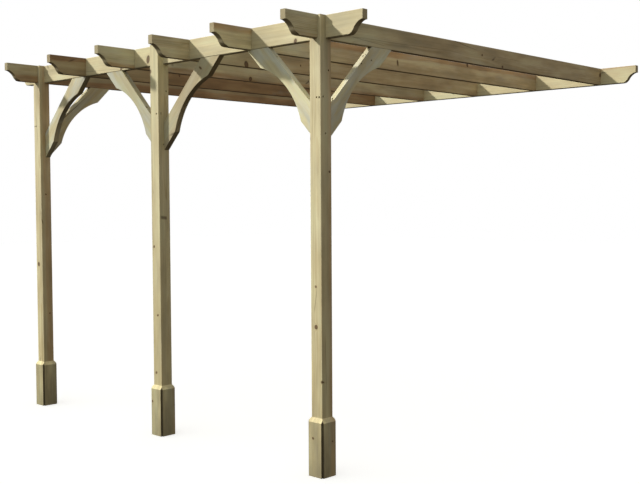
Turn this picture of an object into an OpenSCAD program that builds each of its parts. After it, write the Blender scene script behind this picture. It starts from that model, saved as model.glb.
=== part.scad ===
// Lean-to garden pergola: three posts, a front beam, a wall beam and six rafters, with knee braces.
// The ground is at z = 0, the middle post stands on the origin, the wall is towards +Y.

/* [Frame] */
// Height of the posts and of the top of the frame
frame_h = 2920; // [2000:10:3600]
// Distance between the middles of neighbouring rafters
rafter_pitch = 660; // [560:5:900]
// Distance between the front faces of the front beam and the wall beam
frame_span = 3625; // [1500:25:4800]
// How far the beams run on past the outer faces of the end rafters
beam_overhang = 330; // [160:5:500]
// How far the rafters run on in front of the front beam
rafter_overhang = 330; // [180:5:500]

/* [Timber] */
// Width of the square posts
post_w = 95; // [75:1:145]
// Depth of the beams, rafters and braces
board_d = 145; // [110:1:195]
// Thickness of the beams, rafters and braces
board_t = 45; // [32:1:60]
// Clearance each side of a timber in its slot or lap
fit_gap = 0.5; // [0.2:0.1:2]

/* [Shaped ends] */
// Height of the flat end face above the moulding
end_face_h = 62; // [40:1:85]
// Length of the flat shoulder under the end face
shoulder_l = 12; // [4:1:25]
// Slope of the hollow where it leaves the shoulder
hollow_slope = 15; // [0:1:30]
// Slope where the hollow meets the round nose
ogee_slope = 62; // [45:1:80]
// Share of the moulding's height that the hollow takes
hollow_share = 0.6; // [0.3:0.05:0.7]

/* [Braces] */
// Reach of a brace's upper edge along the post and along the beam
brace_leg = 430; // [200:5:480]
// Straight run of a brace's lower edge at each end
brace_run = 182; // [60:1:200]
// Depth of the hollow in a brace's lower edge
scallop_depth = 70; // [10:1:90]

/* [Feet] */
// Height of the boards round the foot of a post
foot_h = 380; // [100:5:800]
// Thickness of the foot boards
foot_t = 20; // [14:1:30]
// Height of the bevel along the top of a foot board
foot_bevel = 28; // [4:1:40]
// How far a foot board runs past the side of the post, as a mitre, before its square corner
foot_mitre = 9; // [2:1:12]

/* [Hidden] */

rafter_count = 6;
past = 1;  // how far a cut runs on past the timber it opens
arc_steps = 10;  // straight steps in each arc of the moulding
scallop_fn = 192;

planed = [0.80, 0.76, 0.60];
planed_dark = [0.71, 0.65, 0.49];
sawn = [0.68, 0.64, 0.46];

// The end rafters stand on the end posts
post_pitch = rafter_pitch * (rafter_count - 1) / 2;
beam_l = 2 * (post_pitch + board_t / 2 + beam_overhang);
rafter_l = rafter_overhang + frame_span + board_t;

// The front beam is flush with the backs of the posts
beam_y = post_w / 2 - board_t;
wall_beam_y = beam_y + frame_span;
seat_z = frame_h - board_d;
lap_z = board_d / 2;
slot_w = board_t + 2 * fit_gap;

// Moulding: a hollow of radius hollow_r, then a nose of radius nose_r that ends on the underside
ogee_h = board_d - end_face_h;
hollow_r = ogee_h * hollow_share / (cos(hollow_slope) - cos(ogee_slope));
nose_r = ogee_h * (1 - hollow_share) / (1 - cos(ogee_slope));
hollow_x = shoulder_l - hollow_r * sin(hollow_slope);
hollow_z = ogee_h - hollow_r * cos(hollow_slope);
nose_x = hollow_x + (hollow_r + nose_r) * sin(ogee_slope);

// Brace: a board at 45 degrees, with a shallow hollow along its lower edge
brace_reach = brace_leg + board_d * sqrt(2);
scallop_l = brace_reach * sqrt(2) - 2 * brace_run;
scallop_r = (pow(scallop_l / 2, 2) + pow(scallop_depth, 2)) / (2 * scallop_depth);
scallop_c = brace_reach / 2 + (scallop_r - scallop_depth) / sqrt(2);

// Middle of rafter n, counted from 1 at the left
function rafter_x(n) = (n - 1) * rafter_pitch - post_pitch;

// Point of an arc about [x, y] at radius r, where its slope is a; a negative radius curves up
function arc_point(x, y, r, a) = [x + r * sin(a), y + r * cos(a)];

// What is cut away under a shaped end: the end face is at x = 0 and the underside at y = 0
module ogee_cut() {
    slope_step = (ogee_slope - hollow_slope) / arc_steps;
    hollow = [
        for (i = [0:arc_steps])
            arc_point(hollow_x, hollow_z, hollow_r, hollow_slope + i * slope_step)
    ];
    nose = [
        for (i = [1:arc_steps])
            arc_point(nose_x, nose_r, -nose_r, ogee_slope * (1 - i / arc_steps))
    ];
    polygon(concat([[-past, -past], [-past, ogee_h]], hollow, nose, [[nose_x, -past]]));
}

// A beam lies along X from y to y + board_t, lapped from above for every rafter
module beam(y) {
    color(planed)
        translate([-beam_l / 2, y + board_t, seat_z])
            rotate([90, 0, 0])
                linear_extrude(height = board_t)
                    difference() {
                        square([beam_l, board_d]);
                        ogee_cut();
                        translate([beam_l, 0])
                            mirror([1, 0])
                                ogee_cut();
                        for (n = [1:rafter_count])
                            translate([beam_l / 2 + rafter_x(n) - slot_w / 2, lap_z])
                                square([slot_w, lap_z + past]);
                    }
}

// A rafter lies along Y, lapped from below over both beams, and ends at the wall
module rafter(n) {
    color(planed_dark)
        translate([rafter_x(n) - board_t / 2, beam_y - rafter_overhang, seat_z])
            rotate([90, 0, 90])
                linear_extrude(height = board_t)
                    difference() {
                        square([rafter_l, board_d]);
                        ogee_cut();
                        for (y = [0, frame_span])
                            translate([rafter_overhang + y - fit_gap, -past])
                                square([slot_w, lap_z + past]);
                    }
}

// A post at x, seated for the beam at its back and, where slotted, for a rafter through its head
module post(x, slotted) {
    color(planed)
        translate([x, 0, 0])
            difference() {
                translate([-post_w / 2, -post_w / 2, 0])
                    cube([post_w, post_w, frame_h]);
                translate([-post_w, beam_y - fit_gap, seat_z])
                    cube([2 * post_w, post_w, board_d + past]);
                if (slotted)
                    translate([-slot_w / 2, -post_w, seat_z])
                        cube([slot_w, 2 * post_w, board_d + past]);
            }
}

// A board on one face of the foot of the post at x, turned from the front face by angle
module foot_board(x, angle) {
    inner = post_w / 2 - fit_gap / 2;
    outer = inner + foot_mitre;
    color(sawn)
        translate([x, 0, 0])
            rotate([0, 0, angle])
                translate([0, -post_w / 2, 0])
                    difference() {
                        linear_extrude(height = foot_h)
                            polygon([
                                [-inner, 0], [-outer, -foot_mitre], [-outer, -foot_t],
                                [outer, -foot_t], [outer, -foot_mitre], [inner, 0]
                            ]);
                        translate([-post_w, 0, foot_h])
                            rotate([90, 0, 90])
                                linear_extrude(height = 2 * post_w)
                                    polygon([
                                        [0, 0], [-2 * foot_t, -2 * foot_bevel],
                                        [-2 * foot_t, past], [0, past]
                                    ]);
                    }
}

// The side of a brace, with the post's face along x = 0 and the timber above along y = 0
module brace_side() {
    difference() {
        polygon([[brace_leg, 0], [brace_reach, 0], [0, -brace_reach], [0, -brace_leg]]);
        translate([scallop_c, -scallop_c])
            circle(r = scallop_r, $fn = scallop_fn);
    }
}

// A brace from the post at x to the front beam, to the right for side 1, to the left for side -1
module beam_brace(x, side) {
    color(planed)
        translate([x + side * post_w / 2, beam_y + board_t, seat_z])
            rotate([90, 0, 0])
                linear_extrude(height = board_t)
                    mirror([side < 0 ? 1 : 0, 0])
                        brace_side();
}

// A brace from the back of the post at x to the rafter over it
module rafter_brace(x) {
    color(planed_dark)
        translate([x - board_t / 2, post_w / 2, seat_z])
            rotate([90, 0, 90])
                linear_extrude(height = board_t)
                    brace_side();
}

post(-post_pitch, true);  // left_post
post(0, false);  // middle_post
post(post_pitch, true);  // right_post
foot_board(-post_pitch, 0);  // left_foot_front
foot_board(-post_pitch, 90);  // left_foot_right
foot_board(-post_pitch, 180);  // left_foot_back
foot_board(-post_pitch, 270);  // left_foot_left
foot_board(0, 0);  // middle_foot_front
foot_board(0, 90);  // middle_foot_right
foot_board(0, 180);  // middle_foot_back
foot_board(0, 270);  // middle_foot_left
foot_board(post_pitch, 0);  // right_foot_front
foot_board(post_pitch, 90);  // right_foot_right
foot_board(post_pitch, 180);  // right_foot_back
foot_board(post_pitch, 270);  // right_foot_left
beam(beam_y);  // front_beam
beam(wall_beam_y);  // wall_beam
rafter(1);  // rafter_1
rafter(2);  // rafter_2
rafter(3);  // rafter_3
rafter(4);  // rafter_4
rafter(5);  // rafter_5
rafter(6);  // rafter_6
beam_brace(-post_pitch, 1);  // left_beam_brace
beam_brace(0, -1);  // middle_left_brace
beam_brace(0, 1);  // middle_right_brace
beam_brace(post_pitch, -1);  // right_beam_brace
rafter_brace(-post_pitch);  // left_rafter_brace
rafter_brace(post_pitch);  // right_rafter_brace
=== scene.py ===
import math

import bmesh
import bpy
import numpy as np
from mathutils import Matrix, Vector


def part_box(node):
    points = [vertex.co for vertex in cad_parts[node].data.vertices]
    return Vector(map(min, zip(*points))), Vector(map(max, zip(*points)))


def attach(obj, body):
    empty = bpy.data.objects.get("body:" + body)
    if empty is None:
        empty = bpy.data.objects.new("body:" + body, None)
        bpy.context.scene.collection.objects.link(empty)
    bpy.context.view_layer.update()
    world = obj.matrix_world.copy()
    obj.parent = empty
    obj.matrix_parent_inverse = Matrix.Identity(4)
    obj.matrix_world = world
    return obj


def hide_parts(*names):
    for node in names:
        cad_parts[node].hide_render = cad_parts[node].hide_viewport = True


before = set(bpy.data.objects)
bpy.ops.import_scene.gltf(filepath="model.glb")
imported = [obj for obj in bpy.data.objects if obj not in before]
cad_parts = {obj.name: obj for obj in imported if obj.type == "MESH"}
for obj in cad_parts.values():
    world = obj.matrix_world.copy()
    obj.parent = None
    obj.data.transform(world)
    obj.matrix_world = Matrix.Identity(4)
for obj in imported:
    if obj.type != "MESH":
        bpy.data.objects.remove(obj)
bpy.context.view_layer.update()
scene = bpy.context.scene
mergeDistance = 0.00001
print("frame loaded,", len(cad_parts), "nodes")


# Nodes: a socket that works in Python expressions, and one method that makes any node

class Wire:
    def __init__(self, tree, socket):
        self.tree = tree
        self.socket = socket

    def out(self, name):  # another output of the same node
        return Wire(self.tree, self.socket.node.outputs[name])

    def math(self, operation, *others):
        return self.tree.node("ShaderNodeMath", {"operation": operation}, (self, *others))

    def flipped(self, operation, other):
        return self.tree.node("ShaderNodeMath", {"operation": operation}, (other, self))

    def __add__(self, other):
        return self.math("ADD", other)

    def __radd__(self, other):
        return self.flipped("ADD", other)

    def __sub__(self, other):
        return self.math("SUBTRACT", other)

    def __rsub__(self, other):
        return self.flipped("SUBTRACT", other)

    def __mul__(self, other):
        return self.math("MULTIPLY", other)

    def __rmul__(self, other):
        return self.flipped("MULTIPLY", other)

    def __truediv__(self, other):
        return self.math("DIVIDE", other)

    def __rtruediv__(self, other):
        return self.flipped("DIVIDE", other)

    def __pow__(self, other):
        return self.math("POWER", other)

    def __gt__(self, other):
        return self.math("GREATER_THAN", other)

    def __lt__(self, other):
        return self.math("LESS_THAN", other)


class Tree:
    def __init__(self, nodeTree):
        self.nodes = nodeTree.nodes
        self.links = nodeTree.links

    def node(self, kind, settings=None, values=(), out=0):
        made = self.nodes.new(kind)
        for name, value in (settings or {}).items():
            setattr(made, name, value)
        pairs = values.items() if isinstance(values, dict) else enumerate(values)
        for key, value in pairs:
            socket = made.inputs[key]
            if isinstance(value, list):  # several wires into one socket
                for wire in value:
                    self.links.new(wire.socket, socket)
            elif isinstance(value, Wire):
                self.links.new(value.socket, socket)
            else:
                socket.default_value = value
        return Wire(self, made.outputs[out])

    def vector(self, x, y, z):
        return self.node("ShaderNodeCombineXYZ", {}, [x, y, z])

    def parts(self, vector):
        return self.node("ShaderNodeSeparateXYZ", {}, [vector])

    def attribute(self, name, out):
        return self.node("ShaderNodeAttribute", {"attribute_name": name}, {}, out)

    def noise(self, place, scale=1.0, detail=2.0, roughness=0.5, out=0):
        return self.node("ShaderNodeTexNoise", {"noise_dimensions": "3D"},
                         {"Vector": place, "Scale": scale, "Detail": detail,
                          "Roughness": roughness}, out)

    def ramp(self, value, low, high):  # 0 below low, 1 above high, smooth between
        return self.node("ShaderNodeMapRange", {"interpolation_type": "SMOOTHSTEP"},
                         {"Value": value, "From Min": low, "From Max": high})

    def mix(self, factor, a, b, blend="MIX"):
        return self.node("ShaderNodeMix", {"data_type": "RGBA", "blend_type": blend},
                         {0: factor, 6: a, 7: b}, 2)


def geometryTree(name, inputs):
    group = bpy.data.node_groups.new(name, "GeometryNodeTree")
    for label, kind in inputs.items():
        group.interface.new_socket(label, in_out="INPUT", socket_type="NodeSocket" + kind)
    group.interface.new_socket("Geometry", in_out="OUTPUT", socket_type="NodeSocketGeometry")
    tree = Tree(group)
    return group, tree, tree.node("NodeGroupInput")


def merged(tree, shape):
    return tree.node("GeometryNodeMergeByDistance", {},
                     {"Geometry": shape, "Distance": mergeDistance})


def closeTree(tree, shape, material):  # every tree ends in these
    real = tree.node("GeometryNodeRealizeInstances", {}, [shape])
    dressed = tree.node("GeometryNodeSetMaterial", {}, {"Geometry": real, "Material": material})
    end = tree.nodes.new("NodeGroupOutput")
    tree.links.new(dressed.socket, end.inputs[0])


def evaluated(holder):
    graph = bpy.context.evaluated_depsgraph_get()
    return bpy.data.meshes.new_from_object(holder.evaluated_get(graph), depsgraph=graph)


def grow(group, values, mesh=None):  # runs a geometry tree once and keeps only its mesh
    holder = bpy.data.objects.new("holder", mesh or bpy.data.meshes.new("holder"))
    scene.collection.objects.link(holder)
    modifier = holder.modifiers.new(group.name, "NODES")
    modifier.node_group = group
    for item in group.interface.items_tree:
        if item.name in values:
            modifier[item.identifier] = values[item.name]
    made = evaluated(holder)
    bpy.data.objects.remove(holder)
    return made


# Softwood: growth rings round a wandering pith, knots, heartwood, fibres and the green treatment.
# A piece's mesh carries its own grain space, how far each face is end grain, and its tint.

softwood = {
    "sap": (0.60, 0.52, 0.315, 1),
    "heart": (0.43, 0.255, 0.125, 1),
    "late": (0.40, 0.27, 0.12, 1),
    "knot": (0.115, 0.055, 0.022, 1),
    "knotRim": (0.050, 0.026, 0.012, 1),
    "green": (0.46, 0.52, 0.34, 1),
    "check": (0.07, 0.045, 0.025, 1),
    "aged": (0.55, 0.50, 0.36, 1),
    "bleached": (0.56, 0.56, 0.47, 1),
    # colour of the painted shade under downward faces and in the feet's corner grooves
    "stain": (0.060, 0.040, 0.019, 1),
    "grey": (0.40, 0.37, 0.31, 1),
    "endEarly": (0.46, 0.42, 0.27, 1),
    "endLate": (0.30, 0.22, 0.12, 1),
    "ringWidth": 0.0052,
    "ringWave": 0.022,              # how far from round the rings are
    "ringPush": 0.007,              # how far a knot bends them
    "heartWave": 0.045,
    "heartEdge": 0.012,
    "knotLayers": [(0.31, 1.0, 1.0), (0.47, 0.8, 5.0)],     # spacing, share of the size, seed
    "wide": (1.3, 8, 2.0, 0.5),     # noises: stretch along and across, detail, roughness
    "streak": (0.7, 42, 3.0, 0.6),
    "fibre": (9, 420, 2.0, 0.6),
    "cloud": (2.1, 9, 3.0, 0.55),
    "fibreContrast": 0.22,
    "ringRise": (0.25, 0.88),       # late wood across a ring's width
    "ringFall": (0.93, 1.0),
    "greenFrom": (0.46, 0.70),      # where in their noise these patches start and are full
    "greyFrom": (0.58, 0.78),
    "bleachFrom": (0.40, 0.62),
    "cloudFrom": (0.25, 0.7),
    "checksFrom": (0.54, 0.60),
    "sawnFrom": (0.35, 0.6),
    "redDepths": (0.2, 1.1),        # how far back the redder tone comes in
    "agedHeights": (0.1, 2.4),      # the darkening toward the ground fades out between these
    "checkWidths": (0.002, 0.011),
    "crackWidths": (0.30, 0.36),
    "haloMix": 0.35,
    "coreMix": 0.86,
    "rimMix": 0.8,
    "checkMix": 0.85,
    "crackMix": 0.3,
    "sawnDark": 0.30,
    "nearGroundDark": 0.22,
    "bumpDepth": 0.0007,
    "refraction": 1.45,
    "specular": 0.32,
}
knotShape = {
    "first": 0.3,           # a knot lies from here on in its stretch of timber
    "spread": 0.4,
    "lean": 0.18,
    "flatness": 1.3,
    "leastSize": 0.45,
    "moreSize": 0.9,
    "growth": (-0.02, 0.09),        # it reaches its full girth this far from the pith
    "core": (0.7, 1.05),            # these are shares of its girth
    "rimInside": (0.62, 0.9),
    "rimOutside": (1.0, 1.3),
    "halo": (0.8, 3.4),
}


def knotLayer(tree, along, across, deep, spacing, size, seed):
    cell = (along / spacing).math("FLOOR")
    chance = tree.node("ShaderNodeTexWhiteNoise", {"noise_dimensions": "1D"},
                       {"W": cell + seed * 17.31}, "Color")
    shares = tree.node("ShaderNodeSeparateColor", {}, [chance])
    middle = (cell + knotShape["first"] + knotShape["spread"] * shares) * spacing
    turn = shares.out("Green") * math.tau
    reach = across * turn.math("COSINE") + deep * turn.math("SINE")
    aside = across * turn.math("SINE") - deep * turn.math("COSINE")
    lean = along - middle - reach * knotShape["lean"]
    far = (lean * lean + aside * aside * knotShape["flatness"]) ** 0.5
    girth = (size * (knotShape["leastSize"] + knotShape["moreSize"] * shares.out("Blue"))
             * tree.ramp(reach, *knotShape["growth"]))
    share = far / (girth + 0.0008)
    here = reach > 0.004            # a knot grows out of the pith to one side only
    core = (1 - tree.ramp(share, *knotShape["core"])) * here
    rim = (tree.ramp(share, *knotShape["rimInside"])
           * (1 - tree.ramp(share, *knotShape["rimOutside"])) * here)
    halo = (1 - tree.ramp(share, *knotShape["halo"])) * here
    return core, rim, halo


def timberMaterial(name, look):
    material = bpy.data.materials.new(name)
    material.use_nodes = True
    material.node_tree.nodes.clear()
    tree = Tree(material.node_tree)
    grain = tree.parts(tree.attribute("grain", "Vector"))
    along, across, deep = grain, grain.out("Y"), grain.out("Z")
    tint = tree.parts(tree.attribute("tint", "Vector"))
    endCut = tree.attribute("endCut", "Fac")
    arris = tree.attribute("arris", "Fac")
    stain = tree.attribute("stain", "Fac")
    place = tree.parts(tree.node("ShaderNodeTexCoord", {}, {}, "Object"))

    # the pith wanders along the timber, and the rings are never quite round
    sway = tree.node("ShaderNodeSeparateColor", {},
                     [tree.noise(tree.vector(along * 0.55, 3.1, 7.7), 1.0, 1.0, 0.5, 1)])
    v = across + (sway - 0.5) * look["sway"]
    w = deep + (sway.out("Green") - 0.5) * look["sway"]

    def fibrous(name):  # a noise drawn out along the grain
        stretch, squeeze, detail, roughness = softwood[name]
        spot = tree.vector(along * stretch, v * squeeze, w * squeeze)
        return tree.noise(spot, 1.0, detail, roughness)

    wide = fibrous("wide")
    knots = [knotLayer(tree, along, v, w, spacing, look["knotSize"] * share, seed)
             for spacing, share, seed in softwood["knotLayers"]]
    push = (knots[0][2] ** 2 + knots[1][2] ** 2) * softwood["ringPush"]
    radius = (v * v + w * w) ** 0.5
    ringPlace = (radius + (wide - 0.5) * softwood["ringWave"] + push) / softwood["ringWidth"]
    ringNumber = ringPlace.math("FLOOR")
    ringShare = ringPlace - ringNumber
    ringChance = tree.node("ShaderNodeTexWhiteNoise", {"noise_dimensions": "1D"},
                           {"W": ringNumber + tint * 31.0}, "Value")
    late = tree.ramp(ringShare, *softwood["ringRise"])
    late = late * (1 - tree.ramp(ringShare, *softwood["ringFall"])) * (0.25 + 0.75 * ringChance)

    # fibres and long soft streaks
    streak = fibrous("streak")
    fibre = fibrous("fibre")
    cloud = fibrous("cloud")
    patch = tree.noise(tree.vector(along * 3.4 + 9.0, v * 14, w * 14), 1.0, 4.0, 0.6)

    # sapwood outside, heartwood round the pith
    edge = radius + (wide - 0.5) * softwood["heartWave"]
    heart = 1 - tree.ramp(edge, look["heartRadius"] - softwood["heartEdge"],
                          look["heartRadius"] + softwood["heartEdge"])
    # redder toward the wall: partly the wood's heartwood tone, partly painted warm bounce light
    # and shade between the rafters
    behind = tree.ramp(place.out("Y") + (cloud - 0.5) * 0.8, *softwood["redDepths"])
    behind = behind * look["redBehind"]
    heart = (heart * look["heart"] + tint.out("Y") + behind).math("MINIMUM", 1.0)
    colour = tree.mix(heart, softwood["sap"], softwood["heart"])
    colour = tree.mix(late * look["rings"], colour, softwood["late"])
    greenness = tree.ramp(cloud, *softwood["greenFrom"]) * look["green"] + tint.out("Z")
    colour = tree.mix(greenness * (1 - heart * 0.6), colour, softwood["green"])
    greyness = tree.ramp(patch, *softwood["greyFrom"]) * look["grey"]
    colour = tree.mix(greyness, colour, softwood["grey"])

    # sun-bleached patches, which keep off the red wood
    unbleached = (tint.out("Y") * 4 + behind).math("MINIMUM", 1.0)
    mottle = tree.ramp(patch, *softwood["bleachFrom"]) * look["bleach"] * (1 - unbleached)
    colour = tree.mix(mottle, colour, softwood["bleached"])

    # light and dark streaks, arrises lighter (partly wear, partly painted highlight), darker and
    # yellower toward the ground, painted shade on faces turned down and in the feet's corner
    # grooves
    bright = 1 + (streak - 0.5) * look["streak"] + (fibre - 0.5) * softwood["fibreContrast"]
    clouded = tree.ramp(cloud, *softwood["cloudFrom"]) - 0.5
    bright = bright * (1 + clouded * look["cloud"]) * tint
    # arrises lighter: partly wear, partly a painted highlight
    bright = bright * (1 + arris * look["arris"])
    shade = tree.node("ShaderNodeCombineColor", {}, [bright, bright, bright])
    colour = tree.mix(1.0, colour, shade, "MULTIPLY")
    aged = 1 - tree.ramp(place.out("Z"), *softwood["agedHeights"])
    colour = tree.mix(aged * look["aged"], colour, softwood["aged"], "MULTIPLY")
    # painted shade: faces turned down and the feet's corner grooves are darkened
    colour = tree.mix(stain * (0.75 + 0.5 * (streak - 0.5)), colour, softwood["stain"])

    for core, rim, halo in knots:
        colour = tree.mix(halo ** 3 * softwood["haloMix"], colour, softwood["late"])
        colour = tree.mix(core * softwood["coreMix"], colour, softwood["knot"])
        colour = tree.mix(rim * softwood["rimMix"], colour, softwood["knotRim"])

    # drying checks run along the grain and point at the pith
    bearing = w.math("ARCTAN2", v)
    webs = tree.node("ShaderNodeTexVoronoi", {"feature": "DISTANCE_TO_EDGE",
                                              "voronoi_dimensions": "2D"},
                     {"Vector": tree.vector(along * 0.55, bearing * 1.4, 0.0), "Scale": 1.0})
    somewhere = tree.noise(tree.vector(along * 1.1, bearing * 2.0, 4.0), 1.0, 1.0)
    check = 1 - tree.ramp(webs, *softwood["checkWidths"])
    check = check * tree.ramp(somewhere, *softwood["checksFrom"]) * look["checks"]
    colour = tree.mix(check * softwood["checkMix"], colour, softwood["check"])

    # end grain drinks more and dries darker, with its own short cracks
    rays = tree.noise(tree.vector(bearing * 26, radius * 30, 1.0), 1.0, 2.0)
    crack = (1 - tree.ramp(rays, *softwood["crackWidths"])) * endCut
    endShade = tree.mix(0.5 + 0.4 * late, softwood["endEarly"], softwood["endLate"])
    colour = tree.mix(endCut * look["endDark"], colour, endShade)
    colour = tree.mix(crack * softwood["crackMix"], colour, softwood["check"])

    # saw teeth leave a ripple across sawn faces, and the feet are darker toward the ground
    sawn = 0.0
    if look["sawMarks"]:
        teeth = along / look["sawPitch"] * math.tau + (cloud - 0.5) * 9 + across * 30
        sawn = (teeth.math("SINE") * 0.5 + 0.5) * tree.ramp(patch, *softwood["sawnFrom"])
        dull = 1 - sawn * look["sawMarks"] * softwood["sawnDark"]
        nearGround = 1 - tree.ramp(place.out("Z") + (streak - 0.5) * 0.16, 0.0, look["nearGroundTop"])
        dull = dull * (1 - nearGround * softwood["nearGroundDark"])
        shade = tree.node("ShaderNodeCombineColor", {}, [dull, dull, dull])
        colour = tree.mix(1.0, colour, shade, "MULTIPLY")

    rough = 0.60 + 0.18 * fibre - 0.10 * late + 0.16 * endCut + 0.05 * patch
    rough = rough - 0.16 * (knots[0][0] + knots[1][0]) + look["rough"]
    height = fibre * 0.35 + late * 0.5 - check * 3.0 - crack * 2.0 + streak * 0.4
    height = height + (knots[0][0] + knots[1][0]) * 0.8 + sawn * look["sawMarks"] * 1.6
    bump = tree.node("ShaderNodeBump", {}, {
        "Strength": look["relief"], "Distance": softwood["bumpDepth"], "Height": height})
    skin = tree.node("ShaderNodeBsdfPrincipled", {},
                     {"Base Color": colour, "Roughness": rough, "Normal": bump,
                      "IOR": softwood["refraction"],
                      "Specular IOR Level": softwood["specular"]})
    end = tree.nodes.new("ShaderNodeOutputMaterial")
    tree.links.new(skin.socket, end.inputs[0])
    return material


planedLook = {
    "sway": 0.030,          # how far the pith wanders
    "knotSize": 0.013,
    "heartRadius": 0.055,
    "heart": 0.55,
    "rings": 0.42,
    "green": 0.30,
    "grey": 0.18,
    "bleach": 0.10,
    "redBehind": 0.0,       # redder toward the wall: partly heartwood tone, partly painted warm shade
    "aged": 0.0,            # darker and yellower toward the ground
    "streak": 0.34,
    "cloud": 0.30,
    "checks": 0.8,
    "arris": 0.16,          # lighter on the arrises: partly wear, partly a painted highlight
    "endDark": 0.85,
    "sawMarks": 0.0,
    "rough": 0.0,
    "relief": 0.45,
}
looks = {
    "post_timber": dict(planedLook, streak=0.60, green=0.22, rings=0.5, aged=0.42),
    "beam_timber": dict(planedLook, grey=0.12),
    "rafter_timber": dict(planedLook, heart=0.8, heartRadius=0.07, knotSize=0.014, rings=0.7,
                          streak=0.6, redBehind=0.46, bleach=0.22, cloud=0.50, grey=0.45),
    "brace_timber": dict(planedLook, green=0.40, grey=0.40, rings=0.3, knotSize=0.008,
                         bleach=0.75),
    "foot_timber": dict(planedLook, green=0.35, grey=0.55, cloud=0.45, sawMarks=0.8,
                        sawPitch=0.0042, nearGroundTop=0.20, rough=0.16, relief=0.9, streak=0.7,
                        endDark=0.2, checks=1.0, arris=0.75, knotSize=0.012, aged=0.35),
}
timbers = {slot: timberMaterial(slot, look) for slot, look in looks.items()}
print("softwood materials made")


# From a sharp mesh to a finished timber. Axes are the directions along, across and through it.

arrisRadius = {"post": 0.0042, "board": 0.0030, "sawn": 0.0011}
easing = {
    "leastAngle": 0.6,      # between the faces at an edge, radians
    "cornerReach": 0.0002,  # how near the section's corner a planed arris lies
    "straightness": 0.999,
    "segments": 3,
}
wearAndPaintedLight = {
    "paintedShadeGain": 1.25,      # a face's painted shade against how far it faces down
    "mostPaintedShade": 0.9,
    "endGain": 1.25,        # end grain against how far a face is turned to the grain
    "endStart": 0.25,
    "mostTurned": 0.2,      # a face that is turned less is a side of the timber
    "mostFlat": 0.99,       # a side that is flatter isn't an arris
}
straightX = (Vector((1, 0, 0)), Vector((0, 1, 0)), Vector((0, 0, 1)))
straightY = (Vector((0, 1, 0)), Vector((1, 0, 0)), Vector((0, 0, 1)))
straightZ = (Vector((0, 0, 1)), Vector((1, 0, 0)), Vector((0, 1, 0)))


def newObject(name, mesh):
    piece = bpy.data.objects.new(name, mesh)
    scene.collection.objects.link(piece)
    return piece


def cleaned(mesh):  # doubles merged, faces outward
    work = bmesh.new()
    work.from_mesh(mesh)
    bmesh.ops.remove_doubles(work, verts=work.verts, dist=2 * mergeDistance)
    bmesh.ops.recalc_face_normals(work, faces=work.faces)
    work.to_mesh(mesh)
    work.free()
    return mesh


# Planed arrises lie along the grain at the corners of the section, and the rest are saw cuts
def arrisWeights(mesh, axes, planed, sawn):
    work = bmesh.new()
    work.from_mesh(mesh)
    layer = work.edges.layers.float.new("bevel_weight_edge")
    section = np.array([[v.co.dot(axes[1]), v.co.dot(axes[2])] for v in work.verts])
    low, high = section.min(0), section.max(0)
    for edge in work.edges:
        if len(edge.link_faces) != 2 or not edge.is_convex:
            continue
        if edge.calc_face_angle() < easing["leastAngle"]:
            continue
        run = (edge.verts[1].co - edge.verts[0].co).normalized()
        middle = (edge.verts[0].co + edge.verts[1].co) / 2
        spot = np.array([middle.dot(axes[1]), middle.dot(axes[2])])
        beside = np.minimum(abs(spot - low), abs(spot - high))
        corner = np.all(beside < easing["cornerReach"])
        lengthways = abs(run.dot(axes[0])) > easing["straightness"]
        edge[layer] = planed if corner and lengthways else sawn
    work.to_mesh(mesh)
    work.free()


def eased(mesh, axes, planed=arrisRadius["board"], sawn=arrisRadius["sawn"]):
    arrisWeights(mesh, axes, planed, sawn)
    body = newObject("body", mesh)
    for polygon in mesh.polygons:
        polygon.use_smooth = True
    bevel = body.modifiers.new("arris", "BEVEL")
    bevel.limit_method = "WEIGHT"
    bevel.offset_type = "OFFSET"
    bevel.width = 1.0
    bevel.segments = easing["segments"]
    bevel.use_clamp_overlap = False
    bevel.harden_normals = True
    bevel.miter_outer = "MITER_SHARP"
    made = evaluated(body)
    bpy.data.objects.remove(body)
    return made


def store(mesh, name, values):
    layer = mesh.attributes.new(name, "FLOAT", "FACE")
    layer.data.foreach_set("value", values.astype(np.float32))


# The pith is how far the tree's middle lies from the section's middle, across and through
def grained(mesh, axes, pith, start, tint):
    turn = np.array([list(axis) for axis in axes]).T
    count = len(mesh.vertices)
    points = np.empty(count * 3)
    mesh.vertices.foreach_get("co", points)
    space = points.reshape(-1, 3) @ turn
    middle = (space.min(0) + space.max(0)) / 2
    space -= [-start, middle[1] + pith[0], middle[2] + pith[1]]
    grain = mesh.attributes.new("grain", "FLOAT_VECTOR", "POINT")
    grain.data.foreach_set("vector", space.astype(np.float32).ravel())
    shade = mesh.attributes.new("tint", "FLOAT_VECTOR", "POINT")
    shade.data.foreach_set("vector", np.tile(np.float32(tint), count))
    facing = np.empty(len(mesh.polygons) * 3)
    mesh.polygons.foreach_get("normal", facing)
    facing = facing.reshape(-1, 3)
    turned = abs(facing @ turn)
    ends, flattest = turned[:, 0], turned[:, 1:].max(1)
    # arris faces, lightened in the material: partly wear, partly a painted highlight
    store(mesh, "arris", (ends < wearAndPaintedLight["mostTurned"]) & (flattest < wearAndPaintedLight["mostFlat"]))
    # painted shade: a face is darkened the more it faces down
    store(mesh, "stain", np.clip(-facing[:, 2] * wearAndPaintedLight["paintedShadeGain"], 0, wearAndPaintedLight["mostPaintedShade"]))
    store(mesh, "endCut", np.clip(ends * wearAndPaintedLight["endGain"] - wearAndPaintedLight["endStart"], 0, 1))


def timberPiece(name, mesh, slot, axes, nodes, pith, start, tint):
    grained(mesh, axes, pith, start, tint)
    mesh.materials.clear()
    mesh.materials.append(timbers[slot])
    piece = newObject(name, mesh)
    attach(piece, "root")
    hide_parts(*nodes)
    return piece


# Beams and rafters: one outline with a moulded end and a row of laps, drawn by Geometry Nodes

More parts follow.
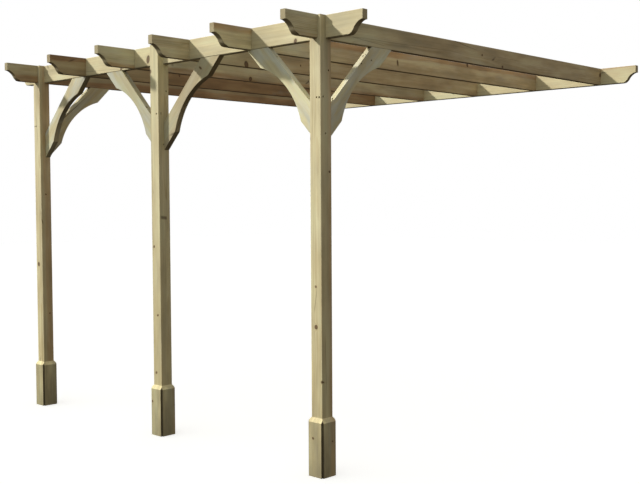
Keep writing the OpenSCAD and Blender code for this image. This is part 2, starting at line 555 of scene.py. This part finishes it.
board = {
    "endFace": 0.062,       # flat face above the moulding
    "shoulder": 0.012,      # flat step under that face
    "hollowSlope": 15.0,    # degrees, where the hollow starts
    "ogeeSlope": 62.0,      # degrees, where the hollow turns into the nose
    "hollowShare": 0.6,     # share of the moulding's height
    "arcSteps": 14,
    "lapGap": 0.0005,       # clearance each side in a lap
}
# Where each run of points comes in the outline
runStart = {
    "hollow": 10,
    "nose": 200,
    "lapsBelow": 1000,
    "squareEnd": 4000,
    "turnedEnd": 5000,
    "lapsAbove": 9000,
}


def shapedBoardTree():
    group, tree, size = geometryTree("shapedBoard", {
        "Length": "Float", "Depth": "Float", "Thickness": "Float", "End Face": "Float",
        "Shoulder": "Float", "Hollow Slope": "Float", "Ogee Slope": "Float",
        "Hollow Share": "Float", "Arc Steps": "Int", "Both Ends": "Bool", "Laps": "Int",
        "First Lap": "Float", "Lap Pitch": "Float", "Lap Width": "Float",
        "Laps On Top": "Float", "Last Lap Open": "Float", "Material": "Material"})
    length, depth, steps = size.out("Length"), size.out("Depth"), size.out("Arc Steps")
    index = tree.node("GeometryNodeInputIndex")

    def points(count, x, y, order):
        cloud = tree.node("GeometryNodePoints", {},
                          {"Count": count, "Position": tree.vector(x, y, 0.0)})
        return tree.node("GeometryNodeStoreNamedAttribute",
                         {"data_type": "FLOAT", "domain": "POINT"},
                         {"Geometry": cloud, "Name": "order", "Value": order})

    # the moulding: a hollow, then a nose that ends on the underside
    first = size.out("Hollow Slope") * (math.pi / 180)
    turn = size.out("Ogee Slope") * (math.pi / 180)
    rise = depth - size.out("End Face")
    hollowShare = size.out("Hollow Share")
    hollow = rise * hollowShare / (first.math("COSINE") - turn.math("COSINE"))
    nose = rise * (1 - hollowShare) / (1 - turn.math("COSINE"))
    hollowX = size.out("Shoulder") - hollow * first.math("SINE")
    hollowY = rise - hollow * first.math("COSINE")
    noseX = hollowX + (hollow + nose) * turn.math("SINE")
    slope = first + (turn - first) * index / steps
    noseSlope = turn * (1 - (index + 1) / steps)
    endFace = points(2, 0.0, depth - index * size.out("End Face"), index)
    hollowRun = points(steps + 1, hollowX + hollow * slope.math("SINE"),
                       hollowY + hollow * slope.math("COSINE"),
                       index + runStart["hollow"])
    noseRun = points(steps, noseX - nose * noseSlope.math("SINE"),
                     nose - nose * noseSlope.math("COSINE"), index + runStart["nose"])
    moulded = tree.node("GeometryNodeJoinGeometry", {}, [[endFace, hollowRun, noseRun]])

    # the far end is the same moulding turned round, or a square end
    order = tree.node("GeometryNodeInputNamedAttribute", {"data_type": "FLOAT"},
                      {"Name": "order"})
    place = tree.parts(tree.node("GeometryNodeInputPosition"))
    turned = tree.node("GeometryNodeSetPosition", {}, {
        "Geometry": moulded,
        "Position": tree.vector(length - place, place.out("Y"), 0.0)})
    turned = tree.node("GeometryNodeStoreNamedAttribute",
                       {"data_type": "FLOAT", "domain": "POINT"},
                       {"Geometry": turned, "Name": "order",
                        "Value": runStart["turnedEnd"] - order})
    openEnd = size.out("Last Lap Open")
    square = points(2, length, (index + openEnd * (1 - index) * 0.5) * depth,
                    index + runStart["squareEnd"])
    farEnd = tree.node("GeometryNodeSwitch", {"input_type": "GEOMETRY"},
                       {"Switch": size.out("Both Ends"), "False": square, "True": turned})

    # four points to a lap, along the underside or back along the top
    number = (index / 4).math("FLOOR")
    corner = index - number * 4
    inside = (corner > 0.5) * (corner < 2.5)
    onTop = size.out("Laps On Top")
    lapX = (size.out("First Lap") + number * size.out("Lap Pitch")
            + (corner > 1.5) * size.out("Lap Width"))
    lapY = onTop * depth + (1 - 2 * onTop) * inside * depth / 2
    lapSpan = runStart["lapsAbove"] - runStart["lapsBelow"]
    laps = points(size.out("Laps") * 4 - openEnd * 2, lapX, lapY,
                  runStart["lapsBelow"] + index + onTop * (lapSpan - 2 * index))

    outline = tree.node("GeometryNodeJoinGeometry", {}, [[moulded, laps, farEnd]])
    line = tree.node("GeometryNodePointsToCurves", {}, {"Points": outline, "Weight": order})
    loop = tree.node("GeometryNodeSetSplineCyclic", {}, {"Geometry": line, "Cyclic": True})
    side = tree.node("GeometryNodeFillCurve", {"mode": "NGONS"}, {"Curve": loop})
    slab = tree.node("GeometryNodeExtrudeMesh", {"mode": "FACES"},
                     {"Mesh": side, "Offset Scale": size.out("Thickness"),
                      "Individual": False})
    back = tree.node("GeometryNodeFlipFaces", {}, [side])
    closed = tree.node("GeometryNodeJoinGeometry", {}, [[slab, back]])
    closeTree(tree, merged(tree, closed), size.out("Material"))
    return group


def shapedBoard(length, depth, thickness, bothEnds, laps, firstLap, lapPitch, lapWidth,
                lapsOnTop, lastLapOpen, slot):
    return grow(boardTree, {
        "Length": length, "Depth": depth, "Thickness": thickness,
        "End Face": board["endFace"], "Shoulder": board["shoulder"],
        "Hollow Slope": board["hollowSlope"], "Ogee Slope": board["ogeeSlope"],
        "Hollow Share": board["hollowShare"], "Arc Steps": board["arcSteps"],
        "Both Ends": bothEnds, "Laps": laps, "First Lap": firstLap, "Lap Pitch": lapPitch,
        "Lap Width": lapWidth, "Laps On Top": lapsOnTop, "Last Lap Open": lastLapOpen,
        "Material": timbers[slot]})


boardTree = shapedBoardTree()
rafterNames = [f"rafter_{n}" for n in range(1, 7)]
rafterBoxes = [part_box(name) for name in rafterNames]
rafterX = [(low.x + high.x) / 2 for low, high in rafterBoxes]
beamBoxes = {name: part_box(name) for name in ("front_beam", "wall_beam")}

# Where a first timber's grain starts, and the step to the next, so that no two are alike
grainStart = {"rafters": (2.0, 5.3), "beams": (40.0, 7), "braces": (100.0, 3.7)}

# Pith offset across and through, then brightness, redness and greenness
rafterTimber = {
    "rafter_1": ((0.030, -0.085), (0.80, 0.08, 0.02)),
    "rafter_2": ((-0.020, 0.100), (0.68, 0.52, 0.00)),
    "rafter_3": ((0.075, -0.090), (1.00, 0.00, 0.22)),
    "rafter_4": ((-0.085, 0.070), (0.95, 0.08, 0.04)),
    "rafter_5": ((0.060, 0.090), (1.16, 0.00, 0.10)),
    "rafter_6": ((-0.080, -0.060), (0.95, 0.02, 0.06)),
}
start, step = grainStart["rafters"]
for number, (name, (low, high)) in enumerate(zip(rafterNames, rafterBoxes)):
    beams = [beamBoxes["front_beam"][0].y, beamBoxes["wall_beam"][0].y]
    thickness = high.x - low.x
    mesh = shapedBoard(high.y - low.y, high.z - low.z, thickness, False, 2,
                       beams[0] - low.y - board["lapGap"], beams[1] - beams[0],
                       thickness + 2 * board["lapGap"], 0.0, 1.0, "rafter_timber")
    mesh.transform(Matrix(((0, 0, 1, low.x), (1, 0, 0, low.y), (0, 1, 0, low.z),
                           (0, 0, 0, 1))))
    pith, tint = rafterTimber[name]
    timberPiece(name + "_timber", eased(cleaned(mesh), straightY), "rafter_timber",
                straightY, [name], pith, start + step * number, tint)
print("rafters made")

beamTimber = {
    "front_beam": ((0.040, -0.120), (1.06, 0.00, 0.00)),
    "wall_beam": ((-0.030, 0.110), (1.00, 0.05, 0.00)),
}
start, step = grainStart["beams"]
for name, (low, high) in beamBoxes.items():
    thickness = high.y - low.y
    lapWidth = thickness + 2 * board["lapGap"]
    mesh = shapedBoard(high.x - low.x, high.z - low.z, thickness, True, 6,
                       rafterX[0] - low.x - lapWidth / 2, rafterX[1] - rafterX[0], lapWidth,
                       1.0, 0.0, "beam_timber")
    mesh.transform(Matrix(((1, 0, 0, low.x), (0, 0, 1, low.y), (0, 1, 0, low.z),
                           (0, 0, 0, 1))))
    pith, tint = beamTimber[name]
    timberPiece(name + "_timber", eased(cleaned(mesh), straightX), "beam_timber",
                straightX, [name], pith, start + step * low.y, tint)
print("beams made")


# Screw holes are kept as they are cut, and their heads are set in them at the end

fixing = {
    "radius": 0.0062,       # counterbore
    "depth": 0.011,
    "pocketDepth": 0.020,   # slanting counterbores in the braces
    "sides": 28,
    "standOut": 0.04,       # how far a cutter stands out of its hole
    "headRadius": 0.0050,
    "headHeight": 0.0030,
    "headSides": 14,
    "headTaper": 0.86,      # radius of a head's top against its bottom
    "recess": 0.45,         # width of the recess against the top
    "recessDepth": 0.5,     # share of the head's height
    "steel": (0.33, 0.32, 0.29, 1),
    "dulled": (0.20, 0.17, 0.12, 1),
}
screwSeats = []


def counterbore(mouth, direction, depth=fixing["depth"]):
    mouth, direction = Vector(mouth), Vector(direction)
    screwSeats.append((mouth + direction * depth, -direction))
    return mouth, direction, fixing["radius"], depth


def drilled(mesh, holes):  # each hole is a mouth, a direction, a radius and a depth
    standOut = fixing["standOut"]
    cutter = bmesh.new()
    for mouth, direction, radius, depth in holes:
        turn = direction.to_track_quat("Z", "Y").to_matrix().to_4x4()
        place = Matrix.Translation(mouth + direction * (depth / 2 - standOut / 2)) @ turn
        bmesh.ops.create_cone(cutter, cap_ends=True, segments=fixing["sides"], radius1=radius,
                              radius2=radius, depth=depth + standOut, matrix=place)
    cutMesh = bpy.data.meshes.new("cutter")
    cutter.to_mesh(cutMesh)
    cutter.free()
    body = newObject("body", mesh)
    tool = newObject("tool", cutMesh)
    cut = body.modifiers.new("holes", "BOOLEAN")
    cut.object = tool
    cut.operation = "DIFFERENCE"
    cut.solver = "EXACT"
    bpy.context.view_layer.update()
    made = evaluated(body)
    bpy.data.objects.remove(body)
    bpy.data.objects.remove(tool)
    return made


# Posts: square, with the head cut away behind for the beam and, at the ends, for a rafter

post = {
    "beamSeatGap": 0.0005,
    "endFaceHoles": [(0.034, -0.371), (0.013, -0.369)],     # across, down from the beam
    "middleFaceHoles": [(0.022, -0.369)],
    "sideHoles": [(0.026, -0.199), (-0.023, -0.366), (-0.003, -0.595)],
}
# Pith, where the grain starts, tint, and the side that the screws are on
postTimber = {
    "left_post": ((0.020, 0.030), 60.0, (1.07, 0.00, 0.00), -1),
    "middle_post": ((-0.060, 0.020), 66.0, (1.00, 0.00, 0.02), 1),
    "right_post": ((0.015, 0.070), 73.0, (1.00, 0.00, 0.00), 1),
}
beamLow, beamHigh = beamBoxes["front_beam"]
rafterT = rafterBoxes[0][1].x - rafterBoxes[0][0].x


# The head's plan is cut into columns, and each column runs up as far as it should
def postMesh(low, high, slotted):
    seat, gap = beamLow.z, post["beamSeatGap"]
    middle = (low.x + high.x) / 2
    slot = (middle - rafterT / 2 - gap, middle + rafterT / 2 + gap)
    xs = [low.x, *slot, high.x] if slotted else [low.x, high.x]
    ys = [low.y, beamLow.y - gap, high.y]
    tall = {(0, 0), (2, 0)} if slotted else {(0, 0)}
    work = bmesh.new()
    grid = {(i, j, z): work.verts.new((x, y, z)) for i, x in enumerate(xs)
            for j, y in enumerate(ys) for z in (low.z, seat, high.z)}

    def face(*keys):
        work.faces.new([grid[key] for key in keys])

    columns = [(i, j) for i in range(len(xs) - 1) for j in range(2)]
    for i, j in columns:
        up = (i, j) in tall
        top = high.z if up else seat
        face((i, j, low.z), (i, j + 1, low.z), (i + 1, j + 1, low.z), (i + 1, j, low.z))
        face((i, j, top), (i + 1, j, top), (i + 1, j + 1, top), (i, j + 1, top))
        sides = {(-1, 0): ((i, j + 1), (i, j)), (1, 0): ((i + 1, j), (i + 1, j + 1)),
                 (0, -1): ((i, j), (i + 1, j)), (0, 1): ((i + 1, j + 1), (i, j + 1))}
        for (di, dj), ((ia, ja), (ib, jb)) in sides.items():
            beside = (i + di, j + dj)
            if beside not in columns:
                face((ia, ja, low.z), (ib, jb, low.z), (ib, jb, seat), (ia, ja, seat))
            if up and beside not in tall:
                face((ia, ja, seat), (ib, jb, seat), (ib, jb, high.z), (ia, ja, high.z))
    loose = [vert for vert in work.verts if not vert.link_faces]
    bmesh.ops.delete(work, geom=loose, context="VERTS")
    bmesh.ops.recalc_face_normals(work, faces=work.faces)
    bmesh.ops.dissolve_limit(work, angle_limit=0.01, verts=work.verts, edges=work.edges)
    mesh = bpy.data.meshes.new("post")
    work.to_mesh(mesh)
    work.free()
    return mesh


for name, (pith, start, tint, side) in postTimber.items():
    low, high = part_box(name)
    middle = (low.x + high.x) / 2
    edge = high.x if side > 0 else low.x
    faceHoles = post["middleFaceHoles" if name == "middle_post" else "endFaceHoles"]
    holes = [counterbore((middle + side * x, low.y, beamLow.z + z), (0, 1, 0))
             for x, z in faceHoles]
    holes += [counterbore((edge, y, beamLow.z + z), (-side, 0, 0))
              for y, z in post["sideHoles"]]
    mesh = drilled(postMesh(low, high, name != "middle_post"), holes)
    mesh = eased(mesh, straightZ, arrisRadius["post"])
    timberPiece(name + "_timber", mesh, "post_timber", straightZ, [name], pith, start, tint)
print("posts made")


# Braces: a board at 45 degrees whose lower edge is hollowed between two straight runs

brace = {
    "run": 0.182,           # straight run of the lower edge at each end
    "hollow": 0.070,        # depth of the hollow
    "hollowSteps": 40,
    "pocket": 0.064,        # how far the slanting counterbores lie from the corner
    "faceHoles": [(0.325, 0.122), (0.424, 0.091)],          # out and down, rafter braces only
}
# Side of the post, pith and tint
braceTimber = {
    "left_beam_brace": (1, (0.02, -0.15), (0.96, 0.00, 0.02)),
    "middle_left_brace": (-1, (-0.01, 0.16), (0.77, 0.00, 0.04)),
    "middle_right_brace": (1, (0.03, -0.14), (0.80, 0.20, 0.00)),
    "right_beam_brace": (-1, (0.02, 0.15), (1.08, 0.00, 0.10)),
    "left_rafter_brace": (1, (-0.03, 0.15), (0.90, 0.03, 0.02)),
    "right_rafter_brace": (1, (0.03, 0.16), (1.06, 0.00, 0.04)),
}


def braceOutline(leg, reach):  # x runs out from the post, y down from the timber above
    root = math.sqrt(0.5)
    half = reach * root - brace["run"]
    radius = (half ** 2 + brace["hollow"] ** 2) / (2 * brace["hollow"])
    centre = reach / 2 + (radius - brace["hollow"]) * root
    spread = math.asin(half / radius)
    outline = [(0, leg), (leg, 0), (reach, 0)]
    for n in range(brace["hollowSteps"] + 1):
        bearing = math.pi * 1.25 + spread * (1 - 2 * n / brace["hollowSteps"])
        outline.append((centre + radius * math.cos(bearing),
                        centre + radius * math.sin(bearing)))
    return outline + [(0, reach)]


start, step = grainStart["braces"]
for number, (name, (side, pith, tint)) in enumerate(braceTimber.items()):
    low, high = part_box(name)
    overX = "rafter" not in name     # lies along the beam, and not back along a rafter
    flat = high - low
    reach, thickness = (flat.x, flat.y) if overX else (flat.y, flat.x)
    leg = reach - (beamHigh.z - beamLow.z) * math.sqrt(2)
    out = Vector((side, 0, 0)) if overX else Vector((0, 1, 0))
    through = Vector((0, 1, 0)) if overX else Vector((1, 0, 0))
    down = Vector((0, 0, -1))
    if overX:
        corner = Vector((low.x if side > 0 else high.x, low.y, high.z))
    else:
        corner = Vector((low.x, low.y, high.z))
    work = bmesh.new()
    near = [work.verts.new(corner + out * x + down * y) for x, y in braceOutline(leg, reach)]
    far = [work.verts.new(vert.co + through * thickness) for vert in near]
    work.faces.new(near)
    work.faces.new(far[::-1])
    for n in range(len(near)):
        work.faces.new((near[n - 1], near[n], far[n], far[n - 1]))
    mesh = bpy.data.meshes.new(name)
    work.to_mesh(mesh)
    work.free()
    centreLine = corner + through * (thickness / 2)
    pocket = brace["pocket"]
    holes = [counterbore(centreLine + out * pocket + down * (leg - pocket), -out,
                         fixing["pocketDepth"]),
             counterbore(centreLine + out * (leg - pocket) + down * pocket, -down,
                         fixing["pocketDepth"])]
    if not overX:
        outer = 1 if name.startswith("right") else -1
        face = corner + through * (thickness if outer > 0 else 0)
        holes += [counterbore(face + out * x + down * y, through * -outer)
                  for x, y in brace["faceHoles"]]
    mesh = drilled(cleaned(mesh), holes)
    root = math.sqrt(0.5)
    axes = ((out - down) * root, through, (out + down) * root)
    timberPiece(name + "_timber", eased(mesh, axes), "brace_timber", axes, [name], pith,
                start + step * number, tint)
print("braces made")


# Feet: four sawn boards round each post, bevelled along the top, placed by Geometry Nodes

def footBoardTree():
    group, tree, size = geometryTree("footBoards", {
        "Post": "Float", "Board": "Float", "Height": "Float", "Bevel": "Float",
        "Mitre": "Float", "Gap": "Float", "Material": "Material"})
    index = tree.node("GeometryNodeInputIndex")
    inner, mitre = size.out("Post") / 2 - size.out("Gap") / 2, size.out("Mitre")

    # half of the plan goes out along the mitre, the other half is its mirror image
    half = index - (index > 2.5) * (index * 2 - 5)
    outer = (half > 0.5) * mitre
    x = (inner + outer) * (1 - 2 * (index > 2.5))
    y = (half > 0.5) * -1 * mitre - (half > 1.5) * (size.out("Board") - mitre)
    corners = tree.node("GeometryNodePoints", {},
                        {"Count": 6, "Position": tree.vector(x, y, 0.0)})
    line = tree.node("GeometryNodePointsToCurves", {}, {"Points": corners})
    loop = tree.node("GeometryNodeSetSplineCyclic", {}, {"Geometry": line, "Cyclic": True})
    plan = tree.node("GeometryNodeFillCurve", {"mode": "NGONS"}, {"Curve": loop})
    solid = tree.node("GeometryNodeExtrudeMesh", {"mode": "FACES"},
                      {"Mesh": plan, "Offset": (0.0, 0.0, 1.0),
                       "Offset Scale": size.out("Height"), "Individual": False})
    closed = tree.node("GeometryNodeJoinGeometry", {},
                       [[solid, tree.node("GeometryNodeFlipFaces", {}, [plan])]])
    place = tree.parts(tree.node("GeometryNodeInputPosition"))

    # the outside of the top is lower by the bevel
    drop = place.out("Y") / size.out("Board") * size.out("Bevel") * (place.out("Z") > 0.01)
    bevelled = tree.node("GeometryNodeSetPosition", {}, {
        "Geometry": merged(tree, closed),
        "Offset": tree.vector(0.0, size.out("Post") / -2, drop)})
    sides = tree.node("GeometryNodePoints", {}, {"Count": 4})
    turn = index * (math.pi / 2)
    ring = tree.node("GeometryNodeInstanceOnPoints", {}, {
        "Points": sides, "Instance": bevelled, "Rotation": tree.vector(0.0, 0.0, turn)})
    closeTree(tree, ring, size.out("Material"))
    return group


foot = {
    "bevel": 0.028,         # height of the bevel
    "mitre": 0.009,         # how far the mitre runs before the open corner
    "arris": 0.0013,
    "gap": 0.0006,          # between neighbouring boards
    "bevelFacing": (0.3, 0.9),      # how far up the bevel's faces look; these get a painted highlight
}
footTree = footBoardTree()
# Pith and tint
footTimber = {
    "left": ((0.09, 0.12), (0.90, 0.0, 0.05)),
    "middle": ((0.09, 0.09), (0.92, 0.0, 0.10)),
    "right": ((0.09, 0.06), (0.96, 0.0, 0.0)),
}
for side, (pith, tint) in footTimber.items():
    nodes = [f"{side}_foot_{face}" for face in ("front", "right", "back", "left")]
    low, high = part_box(nodes[0])
    postLow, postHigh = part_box(side + "_post")
    mesh = grow(footTree, {"Post": postHigh.x - postLow.x, "Board": high.y - low.y,
                           "Height": high.z - low.z, "Bevel": foot["bevel"],
                           "Mitre": foot["mitre"], "Gap": foot["gap"],
                           "Material": timbers["foot_timber"]})
    centre = (postLow + postHigh) / 2
    mesh.transform(Matrix.Translation((centre.x, centre.y, low.z)))
    mesh = eased(cleaned(mesh), straightZ, foot["arris"], foot["arris"])
    piece = timberPiece(side + "_foot_boards", mesh, "foot_timber", straightZ, nodes,
                        pith, 0.0, tint)
    limit = (postHigh.x - postLow.x) / 2 + foot["mitre"] - foot["arris"]
    lowest, highest = foot["bevelFacing"]
    faces = piece.data.attributes
    for face in piece.data.polygons:
        spot = face.center - centre
        # painted highlight on the bevel faces that look upward
        faces["arris"].data[face.index].value = float(lowest < face.normal.z < highest)
        # painted shade in the open corners between the boards
        inCorner = min(abs(spot.x), abs(spot.y)) > limit
        faces["stain"].data[face.index].value = float(inCorner)
print("feet made")


# Screw heads: one small head with a square recess, set on every seat and turned to face out of it

def screwHeadTree():
    group, tree, size = geometryTree("screwHeads", {
        "Geometry": "Geometry", "Radius": "Float", "Height": "Float", "Material": "Material"})
    radius, height = size.out("Radius"), size.out("Height")
    disc = tree.node("GeometryNodeMeshCone", {"fill_type": "NGON"}, {
        "Vertices": fixing["headSides"], "Radius Top": radius * fixing["headTaper"],
        "Radius Bottom": radius, "Depth": height})
    top = tree.node("GeometryNodeInputNormal")
    upward = tree.parts(top).out("Z") > 0.9
    recess = tree.node("GeometryNodeExtrudeMesh", {"mode": "FACES"}, {
        "Mesh": disc, "Selection": upward, "Offset Scale": 0.0})
    rim = tree.node("GeometryNodeScaleElements", {}, {
        "Geometry": recess, "Selection": recess.out("Top"), "Scale": fixing["recess"]})
    sunk = tree.node("GeometryNodeExtrudeMesh", {"mode": "FACES"}, {
        "Mesh": rim, "Selection": recess.out("Top"),
        "Offset Scale": height * -fixing["recessDepth"]})
    facing = tree.node("GeometryNodeInputNamedAttribute", {"data_type": "FLOAT_VECTOR"},
                       {"Name": "facing"})
    aim = tree.node("FunctionNodeAlignRotationToVector", {"axis": "Z"}, {"Vector": facing})
    heads = tree.node("GeometryNodeInstanceOnPoints", {}, {
        "Points": size.out("Geometry"), "Instance": sunk, "Rotation": aim})
    closeTree(tree, heads, size.out("Material"))
    return group


def screwMaterial():
    material = bpy.data.materials.new("screw_steel")
    material.use_nodes = True
    material.node_tree.nodes.clear()
    tree = Tree(material.node_tree)
    place = tree.node("ShaderNodeTexCoord", {}, {}, "Object")
    fine = tree.noise(place, 900.0, 3.0, 0.6)
    broad = tree.noise(place, 160.0, 2.0)
    colour = tree.mix(tree.ramp(broad, 0.35, 0.7), fixing["steel"], fixing["dulled"])
    bump = tree.node("ShaderNodeBump", {}, {"Strength": 0.3, "Distance": 0.0002,
                                            "Height": fine})
    skin = tree.node("ShaderNodeBsdfPrincipled", {}, {
        "Base Color": colour, "Metallic": 0.9, "Roughness": 0.35 + fine * 0.3,
        "Normal": bump})
    end = tree.nodes.new("ShaderNodeOutputMaterial")
    tree.links.new(skin.socket, end.inputs[0])
    return material


seats = bpy.data.meshes.new("seats")
seats.from_pydata([seat for seat, facing in screwSeats], [], [])
facings = seats.attributes.new("facing", "FLOAT_VECTOR", "POINT")
facings.data.foreach_set("vector", np.ravel([facing for seat, facing in screwSeats]))
screwMesh = cleaned(grow(screwHeadTree(), {
    "Radius": fixing["headRadius"], "Height": fixing["headHeight"],
    "Material": screwMaterial()}, seats))
screws = newObject("screws", screwMesh)
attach(screws, "root")
print(len(screwSeats), "screw heads made")


# Floor, light and camera

stage = {
    "floorSize": 60.0,
    "floorColour": (0.9, 0.9, 0.9, 1),
    "floorRoughness": 0.9,
    "floorGlow": 0.6,
    "sunStrength": 3.85,
    "sunColour": (1.0, 0.985, 0.935),
    "sunAngle": 3.5,
    "sunTravel": (1.2, 1.0, -1.0),
    "skyAbove": (0.42, 0.40, 0.375, 1),
    "skyBelow": (0.10, 0.083, 0.058, 1),
    "skyFront": (0.36, 0.45, 0.44, 1),      # added where the sky faces the row of posts
    "horizon": (-0.25, 0.3),
    "frontSpread": (0.0, 0.9),
    "frontRise": (-0.15, 0.3),
}
floorMesh = bpy.data.meshes.new("floor")
half = stage["floorSize"] / 2
floorMesh.from_pydata([(-half, -half, 0), (half, -half, 0), (half, half, 0), (-half, half, 0)],
                      [], [(0, 1, 2, 3)])
floor = newObject("floor", floorMesh)
floorMaterial = bpy.data.materials.new("pale_floor")
floorMaterial.use_nodes = True
floorSkin = floorMaterial.node_tree.nodes["Principled BSDF"]
floorSkin.inputs["Base Color"].default_value = stage["floorColour"]
floorSkin.inputs["Roughness"].default_value = stage["floorRoughness"]
floorSkin.inputs["Emission Color"].default_value = (1, 1, 1, 1)
floorSkin.inputs["Emission Strength"].default_value = stage["floorGlow"]
floorMesh.materials.append(floorMaterial)
floor.visible_diffuse = False
floor.visible_glossy = False

sunData = bpy.data.lights.new("sun", "SUN")
sunData.energy = stage["sunStrength"]
sunData.color = stage["sunColour"]
sunData.angle = math.radians(stage["sunAngle"])
sun = newObject("sun", sunData)
sun.rotation_euler = Vector(stage["sunTravel"]).to_track_quat("-Z", "Y").to_euler()
unlit = bpy.data.collections.new("unlit")
unlit.objects.link(floor)
unlit.collection_objects[0].light_linking.link_state = "EXCLUDE"
sun.light_linking.receiver_collection = unlit

world = bpy.data.worlds.new("studio")
scene.world = world
world.use_nodes = True
world.node_tree.nodes.clear()
sky = Tree(world.node_tree)
way = sky.parts(sky.node("ShaderNodeTexCoord", {}, {}, "Generated"))
soft = sky.mix(sky.ramp(way.out("Z"), *stage["horizon"]), stage["skyBelow"], stage["skyAbove"])
front = (sky.ramp(way.out("Y") * -1, *stage["frontSpread"])
         * sky.ramp(way.out("Z"), *stage["frontRise"]))
soft = sky.mix(front, soft, stage["skyFront"], "ADD")
seen = sky.node("ShaderNodeLightPath", {}, {}, "Is Camera Ray")
backdrop = sky.node("ShaderNodeBackground", {}, [sky.mix(seen, soft, (1, 1, 1, 1)), 1.0])
end = sky.nodes.new("ShaderNodeOutputWorld")
sky.links.new(backdrop.socket, end.inputs[0])
scene.view_settings.view_transform = "Standard"

view = {
    "place": (5.9384, -4.5350, 1.7680),
    "yaw": 43.464,
    "pitch": -2.490,
    "roll": -0.312,
    "lens": 55.368,
    "sensor": 36,
}
cameraData = bpy.data.cameras.new("camera")
cameraData.lens = view["lens"]
cameraData.sensor_width = view["sensor"]
camera = newObject("camera", cameraData)
aim = (Matrix.Rotation(math.radians(view["yaw"]), 4, "Z")
       @ Matrix.Rotation(math.radians(90 + view["pitch"]), 4, "X")
       @ Matrix.Rotation(math.radians(view["roll"]), 4, "Z"))
camera.matrix_world = Matrix.Translation(view["place"]) @ aim
scene.camera = camera
print("floor, light and camera set")
